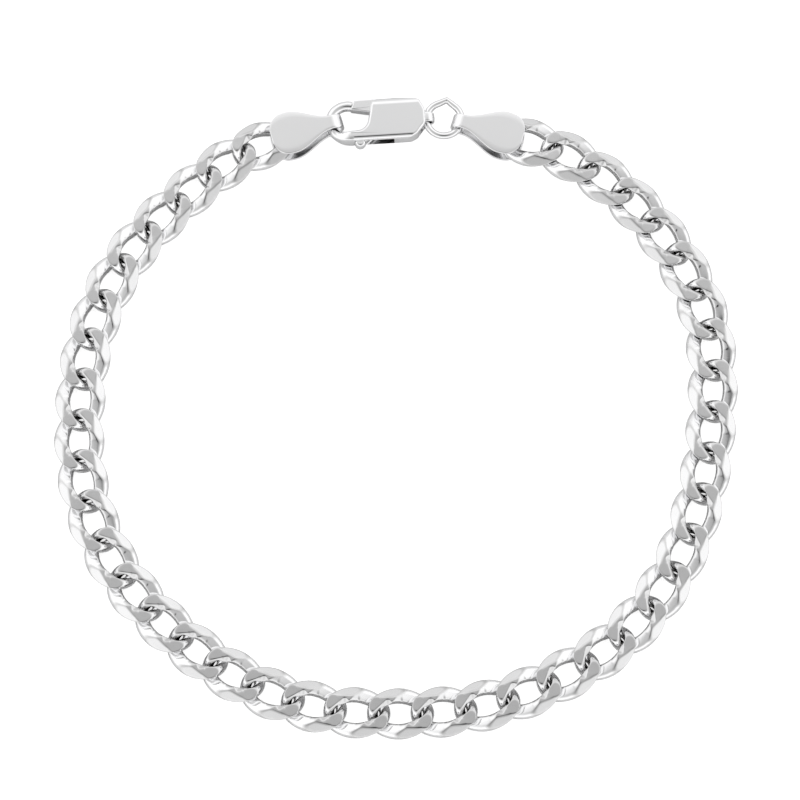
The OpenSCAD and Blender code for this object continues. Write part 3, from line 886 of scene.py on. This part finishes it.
def stacked_block(outline, middle, heights, inset, limits=None):
    """A block of stacked outlines, closed by a flat at each end.

    At each height the outline is drawn in along its normal by the inset, and its Y is kept
    within the limits. The flats are rings towards a middle point that sees all the outline.
    """
    heading = np.roll(outline, -1, 0) - np.roll(outline, 1, 0)
    normal = np.stack([heading[:, 1], -heading[:, 0]], -1)
    normal /= np.linalg.norm(normal, axis=1, keepdims=True)
    rows = outline[None] - inset[:, None, None] * normal[None]
    if limits:
        rows[..., 1] = np.clip(rows[..., 1], limits[0][:, None], limits[1][:, None])
    flat = middle + FLAT_RINGS * (rows[-1] - middle)
    under = middle + FLAT_RINGS * (rows[0] - middle)
    plan = np.concatenate([under, rows, flat[::-1]])
    height = np.pad(heights, len(FLAT_RINGS), mode="edge")
    points = np.concatenate([plan, np.repeat(height[:, None, None], len(outline), 1)], -1)
    return points.reshape(-1, 3), grid_faces(len(plan), len(outline))


def rim_inset(heights, half, rim):
    """How far a rim rounded by a quarter circle is drawn in at each height."""
    past = np.clip(np.abs(heights) - (half - rim), 0, rim)
    return rim - np.sqrt(rim ** 2 - past ** 2)


def rim_heights(half, rim):
    """The heights of a block's sections, close together over its two rounded rims."""
    upper = half - rim * (1 - np.sin(np.linspace(0, np.pi / 2, RIM_STEPS)))
    return np.concatenate([-upper[::-1], upper])


def full_oval(turn, power):
    """Points (u, v) of the full oval |u|^n + |v|^n = 1, by their turn and the power n."""
    cosine, sine = np.cos(turn), np.sin(turn)
    return (np.sign(cosine) * np.abs(cosine) ** (2 / power),
            np.sign(sine) * np.abs(sine) ** (2 / power))


def swept_bar(path, width, half_height, power, dish):
    """A bar along a flat path, whose section is the full oval |u / w|^n + |v / h|^n = 1.

    Each end is a flat, which the dish sinks a little within a raised edge.
    """
    width, half_height, power = (np.broadcast_to(value, len(path)).astype(float)
                                 for value in (width, half_height, power))
    heading = np.gradient(path, axis=0)
    heading /= np.linalg.norm(heading, axis=1, keepdims=True)
    side = np.stack([-heading[:, 1], heading[:, 0]], -1)
    quarter = np.sin(np.linspace(0, np.pi / 2, END_STEPS)[:-1])
    shrink = 1 - dish / width.mean() * 2 * (1 - quarter)
    along = np.concatenate([-dish * quarter, 0 * width, dish * quarter[::-1]])
    scale = np.concatenate([END_RINGS, shrink, 1 + 0 * width, shrink[::-1], END_RINGS[::-1]])
    along = np.pad(along, len(END_RINGS), mode="edge")
    pick = np.pad(np.arange(len(path)), len(quarter) + len(END_RINGS), mode="edge")
    turn = np.linspace(0, 2 * np.pi, ROUND_STEPS, endpoint=False)
    u, v = full_oval(turn, power[pick][:, None])
    u = u * (width[pick] / 2 * scale)[:, None]
    v = v * (half_height[pick] * scale)[:, None]
    centre = path[pick] + along[:, None] * heading[pick]
    plan = centre[:, None] + u[..., None] * side[pick][:, None]
    return np.concatenate([plan, v[..., None]], -1).reshape(-1, 3), grid_faces(len(pick), len(turn))


def fused(*shells):
    """Several closed surfaces as the points and faces of one mesh, each facing outwards."""
    starts = np.cumsum([0] + [len(points) for points, _ in shells])
    points = np.concatenate([points for points, _ in shells])
    faces = [outward(points - points.mean(0), faces) + start
             for (points, faces), start in zip(shells, starts)]
    return points, np.concatenate(faces)


def clasp_frame():
    """The clasp's own origin, at its eye, and its axes, from the lever's pivot and the ring."""
    turn = clasp_turn()
    axes = np.array([[np.cos(turn), np.sin(turn), 0], [-np.sin(turn), np.cos(turn), 0], [0, 0, 1]])
    pivot = np.array(frame["joints"][0]["pos_m"])
    low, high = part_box("clasp_body")
    pivot[2] = (low[2] + high[2]) / 2
    return pivot - np.array([*PIVOT, 0]) * MM @ axes, axes


class BRACELET_OT_clasp(bpy.types.Operator):
    """Makes the clasp's body: two sheets with a rounded rim, a core, a hook, an eye and a post."""
    bl_idname = "bracelet.clasp"
    bl_label = "Clasp body"

    def execute(self, context):
        clasp = settings("bracelet_clasp")
        upper = body_sheet(clasp)
        lower = (upper[0] * [1, 1, -1], upper[1])
        piece = make_clasp_piece("clasp_casting", fused(
            upper, lower, body_core(clasp), hook_bar(clasp), eye_band(), post_pin(clasp)))
        add_piece(piece, CHAIN_BODY, silver("clasp_silver"), "clasp_body")
        return {"FINISHED"}


def body_sheet(clasp):
    """The body's upper sheet, from the slot up over its long edges and its rim to the flat."""
    half = clasp.thickness / 2
    outline = np.concatenate([
        [FAR_START], arc(PIVOT, CHEEK_RADIUS, *CHEEK_TURN), [CHEEK_FOOT],
        arc(MOUTH, MOUTH_RADIUS, 0, -90), ARM, TAIL]) * MM
    turn = np.linspace(np.arcsin(1 - clasp.shell / clasp.far_rounding), np.pi / 2, SHEET_STEPS)
    heights = half - clasp.far_rounding * (1 - np.sin(turn))
    return stacked_block(rounded_line(outline, SHEET_CORNER * MM, SHEET_POINTS, closed=True),
                         np.array(SHEET_MIDDLE) * MM, heights,
                         rim_inset(heights, half, clasp.rim), long_edges(clasp, heights))


def body_core(clasp):
    """The solid end of the body between its two sheets, with a slight lap into both."""
    slot = clasp.thickness / 2 - clasp.shell
    outline = np.array(CORE_START + CORE_TAIL) * MM
    heights = np.linspace(-slot, slot, CORE_STEPS) * CORE_LAP
    return stacked_block(rounded_line(outline, CORE_CORNER * MM, CORE_POINTS, closed=True),
                         np.array(CORE_MIDDLE) * MM, heights, 0 * heights,
                         long_edges(clasp, heights))


def long_edges(clasp, heights):
    """Where the body's near and far sides stand at each height, for its two long roundings."""
    half = clasp.thickness / 2
    near = NEAR_SIDE * MM + rim_inset(heights, half, clasp.near_rounding)
    far = FAR_SIDE * MM - rim_inset(heights, half, clasp.far_rounding)
    return near, far


def hook_bar(clasp):
    """The hook's wire from the slit round the mouth, growing into the body's square arm."""
    bend = arc(HOOK, HOOK_RADIUS, SLIT_ANGLE, 270, HOOK_STEPS)
    arm_x = np.linspace(HOOK[0], ARM_END, ARM_STEPS)[1:]
    arm = np.stack([arm_x, np.full_like(arm_x, HOOK[1] - HOOK_RADIUS)], -1)
    path = np.concatenate([bend, arm])
    grown = smooth_step(path[:, 0] - HOOK[0], *HOOK_GROWTH) * (path[:, 1] < 0)
    half = clasp.thickness / 2 - ARM_EASE * MM
    height = clasp.hook_wire / 2 + (half - clasp.hook_wire / 2) * grown
    power = ROUND_POWER + (ARM_POWER - ROUND_POWER) * grown
    return swept_bar(path * MM, clasp.hook_wire, height, power, HOOK_DISH * MM)


def eye_band():
    """The eye: a band round the Y axis whose section is a full oval."""
    around, section = np.meshgrid(
        *(np.linspace(0, 2 * np.pi, steps, endpoint=False) for steps in EYE_STEPS), indexing="ij")
    out, along = full_oval(section, EYE_POWER)
    out = EYE_RADIUS + EYE_WALL / 2 * out
    points = np.stack([out * np.cos(around), EYE_WIDTH / 2 * along, out * np.sin(around)], -1)
    return points.reshape(-1, 3) * MM, grid_faces(*EYE_STEPS, closed_rows=True)


def post_pin(clasp):
    """The post that the lever turns on."""
    points, faces = round_pin(POST_RADIUS * MM, clasp.thickness / 2 - clasp.shell / 2)
    return points + np.array([*PIVOT, 0]) * MM, faces


def make_clasp_piece(name, shells):
    """A mesh in the clasp's own frame put in its place, with its sharp edges marked."""
    origin, axes = clasp_frame()
    points, faces = shells
    mesh = make_mesh(name, origin + points @ axes, faces)
    mesh.set_sharp_from_angle(angle=SHARP_ANGLE)
    return mesh


class BRACELET_OT_lever(bpy.types.Operator):
    """Makes the clasp's lever: the gate, its round middle, the thumb arm and the knob."""
    bl_idname = "bracelet.lever"
    bl_label = "Clasp lever"

    def execute(self, context):
        clasp = settings("bracelet_clasp")
        half = clasp.lever_height / 2
        gate = np.concatenate([
            GATE, arc(PIVOT, BOSS_RADIUS, *BOSS_TURN, BOSS_STEPS), GATE_BACK]) * MM
        gate = lever_block(rounded_line(gate, GATE_CORNER * MM, GATE_POINTS, closed=True),
                           GATE_MIDDLE, half, clasp.lever_rim)
        thumb = rounded_line(np.array([THUMB_ROOT, ELBOW, KNOB]) * MM, ELBOW_CORNER * MM,
                             THUMB_STEPS)
        thumb = swept_bar(thumb, clasp.arm_width, half - THUMB_EASE * MM, THUMB_POWER,
                          THUMB_DISH * MM)
        knob = arc(np.array(KNOB) * MM, clasp.knob, 0, 360, KNOB_STEPS)[:-1]
        knob = lever_block(knob, KNOB, half + KNOB_RISE * MM, clasp.knob * KNOB_ROUNDING)
        mesh = make_clasp_piece("clasp_lever_plate", fused(gate, thumb, knob))
        add_piece(mesh, LEVER_BODY, silver("lever_silver"), "clasp_lever")
        return {"FINISHED"}


def lever_block(outline, middle, half, rim):
    """A block of the lever, level with its middle plane, with both rims rounded."""
    heights = rim_heights(half, rim)
    return stacked_block(outline, np.array(middle) * MM, heights, rim_inset(heights, half, rim))


def add_node(tree, kind, inputs=(), **properties):
    """Adds a node with its properties. An input, by its name, is set to a value or linked."""
    node = tree.nodes.new(kind)
    for name, value in properties.items():
        setattr(node, name, value)
    for name, value in dict(inputs).items():
        if isinstance(value, bpy.types.NodeSocket):
            tree.links.new(value, node.inputs[name])
        else:
            node.inputs[name].default_value = value
    return node


def calculate(tree, operation, first, second, third=0.0):
    """The output of a Math node on two values or sockets, or on three."""
    return add_node(tree, "ShaderNodeMath", {0: first, 1: second, 2: third},
                    operation=operation).outputs[0]


def start_group(name, inputs, outputs):
    """A new node group, its input node's sockets and the node that takes its outputs.

    The inputs give each socket's kind and default, and the outputs each socket's kind.
    """
    tree = bpy.data.node_groups.new(name, "ShaderNodeTree")
    for label, (kind, value) in inputs.items():
        socket = tree.interface.new_socket(label, in_out="INPUT", socket_type=kind)
        socket.default_value = value
    for label, kind in outputs.items():
        tree.interface.new_socket(label, in_out="OUTPUT", socket_type=kind)
    return tree, tree.nodes.new("NodeGroupInput").outputs, tree.nodes.new("NodeGroupOutput")


def polish_group():
    """Marks that polishing leaves: long fine scratches two ways, and soft clouds of wear.

    The scratches are noise stretched along two directions, cut to its highest places. The
    clouds are plain noise a few millimetres wide.
    """
    name = "polish_marks"
    if name in bpy.data.node_groups:
        return bpy.data.node_groups[name]
    tree, given, result = start_group(
        name,
        {"Place": ("NodeSocketVector", (0, 0, 0)), "Scratches": ("NodeSocketFloat", 0.5),
         "Smooth": ("NodeSocketFloat", 0.1), "Worn": ("NodeSocketFloat", 0.2)},
        {"Roughness": "NodeSocketFloat", "Height": "NodeSocketFloat", "Clouds": "NodeSocketFloat"})
    lines = []
    for turn, stretch in SCRATCH_WAYS:
        place = add_node(tree, "ShaderNodeMapping", {
            "Vector": given["Place"], "Rotation": (*SCRATCH_TILT, turn), "Scale": (1, stretch, 1)})
        noise = add_node(tree, "ShaderNodeTexNoise", {
            "Vector": place.outputs[0], "Scale": 1 / SCRATCH_LENGTH, **SCRATCH_GRAIN})
        lines.append(add_node(tree, "ShaderNodeMapRange", {
            "Value": noise.outputs["Fac"], "From Min": SCRATCH_RANGE[0],
            "From Max": SCRATCH_RANGE[1]}).outputs[0])
    both = calculate(tree, "MAXIMUM", *lines)
    clouds = add_node(tree, "ShaderNodeTexNoise", {
        "Vector": given["Place"], "Scale": 1 / CLOUD_SIZE, **CLOUD_GRAIN})
    share = add_node(tree, "ShaderNodeMapRange", {
        "Value": clouds.outputs["Fac"], "From Min": CLOUD_RANGE[0],
        "From Max": CLOUD_RANGE[1]}).outputs[0]
    worn = calculate(tree, "MAXIMUM", both, share)
    rough = add_node(tree, "ShaderNodeMapRange", {
        "Value": worn, "To Min": given["Smooth"], "To Max": given["Worn"]}).outputs[0]
    height = calculate(tree, "MULTIPLY", both, calculate(tree, "MULTIPLY", given["Scratches"], -1.0))
    tree.links.new(rough, result.inputs["Roughness"])
    tree.links.new(height, result.inputs["Height"])
    tree.links.new(share, result.inputs["Clouds"])
    return tree


def painted_shade_group():
    """Painted shade on silver: in its hollows, along its edges and on its cuts, and more so in the
    clouds.
    """
    name = "tarnish"
    if name in bpy.data.node_groups:
        return bpy.data.node_groups[name]
    tree, given, result = start_group(
        name,
        {"Silver": ("NodeSocketColor", (*SILVER, 1)),
         "Tarnish": ("NodeSocketColor", (*PAINTED_SHADE_COLOUR, 1)),
         "Clouds": ("NodeSocketFloat", 0.5), "Hollow": ("NodeSocketFloat", 0.0),
         "Edge": ("NodeSocketFloat", 0.0), "Cut": ("NodeSocketFloat", 0.0),
         "Hollow Depth": ("NodeSocketFloat", 0.5), "Edge Depth": ("NodeSocketFloat", 0.5),
         "Cut Depth": ("NodeSocketFloat", 0.2)},
        {"Colour": "NodeSocketColor"})
    uneven = add_node(tree, "ShaderNodeMapRange", {
        "Value": given["Clouds"], "To Min": LEAST_PAINTED_SHADE}).outputs[0]
    hollow = calculate(tree, "MULTIPLY", given["Hollow"], given["Hollow Depth"])
    edge = calculate(tree, "MULTIPLY", given["Edge"], given["Edge Depth"])
    cut = calculate(tree, "MULTIPLY", given["Cut"], given["Cut Depth"])
    deepest = calculate(tree, "MAXIMUM", calculate(tree, "MAXIMUM", hollow, edge), cut)
    share = calculate(tree, "MULTIPLY", deepest, uneven)
    mix = add_node(tree, "ShaderNodeMix", data_type="RGBA")
    tree.links.new(share, mix.inputs["Factor"])
    tree.links.new(given["Silver"], mix.inputs[MIX_FIRST])
    tree.links.new(given["Tarnish"], mix.inputs[MIX_SECOND])
    tree.links.new(mix.outputs[MIX_RESULT], result.inputs["Colour"])
    return tree


def silver(name):
    """A polished silver material with its own depth of painted shade and of polishing marks."""
    if name in bpy.data.materials:
        return bpy.data.materials[name]
    finish = FINISHES[name]
    material = bpy.data.materials.new(name)
    material.use_nodes = True
    tree = material.node_tree
    shader = tree.nodes["Principled BSDF"]
    shader.inputs["Metallic"].default_value = 1
    place = add_node(tree, "ShaderNodeTexCoord").outputs["Object"]
    polish = add_node(tree, "ShaderNodeGroup", node_tree=polish_group())
    tree.links.new(place, polish.inputs["Place"])
    for label in ("Smooth", "Worn", "Scratches"):
        polish.inputs[label].default_value = finish[label.lower()]
    tarnish = add_node(tree, "ShaderNodeGroup", node_tree=painted_shade_group())
    tree.links.new(polish.outputs["Clouds"], tarnish.inputs["Clouds"])
    # The marks carry the painted shade of the hollows, the edges and the cuts
    for label, mark in (("Hollow", HOLLOW_SHADE), ("Edge", EDGE_SHADE), ("Cut", CUT)):
        attribute = add_node(tree, "ShaderNodeAttribute", attribute_name=mark)
        tree.links.new(attribute.outputs["Fac"], tarnish.inputs[label])
        tarnish.inputs[label + " Depth"].default_value = finish[mark]
    bump = add_node(tree, "ShaderNodeBump", {
        "Height": polish.outputs["Height"], "Strength": SCRATCH_STRENGTH,
        "Distance": SCRATCH_DEPTH})
    tree.links.new(tarnish.outputs["Colour"], shader.inputs["Base Color"])
    tree.links.new(polish.outputs["Roughness"], shader.inputs["Roughness"])
    tree.links.new(bump.outputs["Normal"], shader.inputs["Normal"])
    return material


class BRACELET_OT_stage(bpy.types.Operator):
    """Sets up the camera, the pale floor and the soft light."""
    bl_idname = "bracelet.stage"
    bl_label = "Stage"

    def execute(self, context):
        stage = settings("bracelet_stage")
        scene = context.scene
        scene.view_settings.view_transform = "Standard"
        add_camera(stage)
        add_floor(stage)
        add_world(stage)
        return {"FINISHED"}


def camera_side(stage):
    """The direction from the aim to the camera, which stands over the -Y side."""
    return np.array([0, -np.cos(stage.elevation), np.sin(stage.elevation)])


def add_camera(stage):
    """A camera at the stage's elevation that looks at the aim, along +Y from above."""
    camera = bpy.data.cameras.new("camera")
    camera.sensor_width = SENSOR_WIDTH
    camera.lens = stage.lens
    camera.clip_start = NEAREST
    eye = bpy.data.objects.new("camera", camera)
    eye.location = np.array(stage.aim) + stage.distance * camera_side(stage)
    eye.rotation_euler = (
        Euler((np.pi / 2 - stage.elevation, 0, 0)).to_matrix()
        @ Euler((0, 0, stage.roll)).to_matrix()
    ).to_euler()
    bpy.context.scene.collection.objects.link(eye)
    bpy.context.scene.camera = eye


def add_floor(stage):
    """A plain pale floor just under the links, which looks white where the camera sees it."""
    corners = [(-1, -1), (1, -1), (1, 1), (-1, 1)]
    mesh = bpy.data.meshes.new("floor")
    mesh.from_pydata([(x * FLOOR_HALF, y * FLOOR_HALF, -FLOOR_DEPTH) for x, y in corners],
                     [], [(0, 1, 2, 3)])
    floor = bpy.data.objects.new("floor", mesh)
    bpy.context.scene.collection.objects.link(floor)
    material = bpy.data.materials.new("floor_white")
    material.use_nodes = True
    tree = material.node_tree
    shader = tree.nodes["Principled BSDF"]
    shader.inputs["Base Color"].default_value = (*stage.floor_colour, 1)
    shader.inputs["Roughness"].default_value = FLOOR_ROUGHNESS
    shader.inputs["Specular IOR Level"].default_value = FLOOR_SPECULAR
    shader.inputs["Emission Color"].default_value = (1, 1, 1, 1)
    seen = add_node(tree, "ShaderNodeLightPath").outputs["Is Camera Ray"]
    glow = calculate(tree, "MULTIPLY", seen, FLOOR_GLOW)
    tree.links.new(glow, shader.inputs["Emission Strength"])
    mesh.materials.append(material)
    floor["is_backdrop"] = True


def add_world(stage):
    """Soft light from all round, with a dark opening where the camera stands.

    The light depends on the angle between its direction and that of the camera: dark in the
    opening, grey round it and white from the sides. It is a little darker far behind.
    """
    world = bpy.data.worlds.new("studio")
    bpy.context.scene.world = world
    world.use_nodes = True
    tree = world.node_tree
    where = add_node(tree, "ShaderNodeTexCoord").outputs["Generated"]
    toward = add_node(tree, "ShaderNodeVectorMath", {0: where, 1: tuple(camera_side(stage))},
                      operation="DOT_PRODUCT")
    ramp = add_node(tree, "ShaderNodeValToRGB", {"Fac": toward.outputs["Value"]})
    elements = ramp.color_ramp.elements
    while len(elements) < len(WORLD_LIGHT):
        elements.new(0.5)
    for element, (height, value) in zip(elements, WORLD_LIGHT):
        element.position = np.sin(np.radians(height))
        element.color = (value, value, value, 1)
    parts = add_node(tree, "ShaderNodeSeparateXYZ", {0: where})
    behind = add_node(tree, "ShaderNodeMapRange", {
        "Value": parts.outputs["Y"], "From Min": BEHIND_RANGE[0], "From Max": BEHIND_RANGE[1],
        "To Min": 1, "To Max": BEHIND_LIGHT}, interpolation_type="SMOOTHSTEP")
    shade = add_node(tree, "ShaderNodeVectorMath", {
        0: ramp.outputs["Color"], "Scale": behind.outputs["Result"]}, operation="SCALE")
    tree.links.new(shade.outputs["Vector"], tree.nodes["Background"].inputs["Color"])


class BRACELET_PT_panel(bpy.types.Panel):
    """Lists the pieces of the bracelet and their sizes."""
    bl_label = "Bracelet"
    bl_idname = "BRACELET_PT_panel"
    bl_space_type = "VIEW_3D"
    bl_region_type = "UI"
    bl_category = "Bracelet"

    def draw(self, context):
        for operator in OPERATORS:
            self.layout.operator(operator.bl_idname)
        for name in SETTINGS:
            group = getattr(context.scene, name)
            for value in group.bl_rna.properties.keys():
                if value not in ("rna_type", "name"):
                    self.layout.prop(group, value)


OPERATORS = (
    BRACELET_OT_stage, BRACELET_OT_links, BRACELET_OT_caps, BRACELET_OT_ring, BRACELET_OT_clasp,
    BRACELET_OT_lever,
)


def register():
    for name, group in SETTINGS.items():
        bpy.utils.register_class(group)
        setattr(bpy.types.Scene, name, bpy.props.PointerProperty(type=group))
    for kind in (*OPERATORS, BRACELET_PT_panel):
        bpy.utils.register_class(kind)


def unregister():
    for kind in (BRACELET_PT_panel, *reversed(OPERATORS)):
        bpy.utils.unregister_class(kind)
    for name, group in SETTINGS.items():
        delattr(bpy.types.Scene, name)
        bpy.utils.unregister_class(group)


def main():
    """Makes everything."""
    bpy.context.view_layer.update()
    register()
    bpy.ops.bracelet.stage()
    bpy.ops.bracelet.links()
    bpy.ops.bracelet.caps()
    bpy.ops.bracelet.ring()
    bpy.ops.bracelet.clasp()
    bpy.ops.bracelet.lever()


if __name__ == "__main__":
    main()
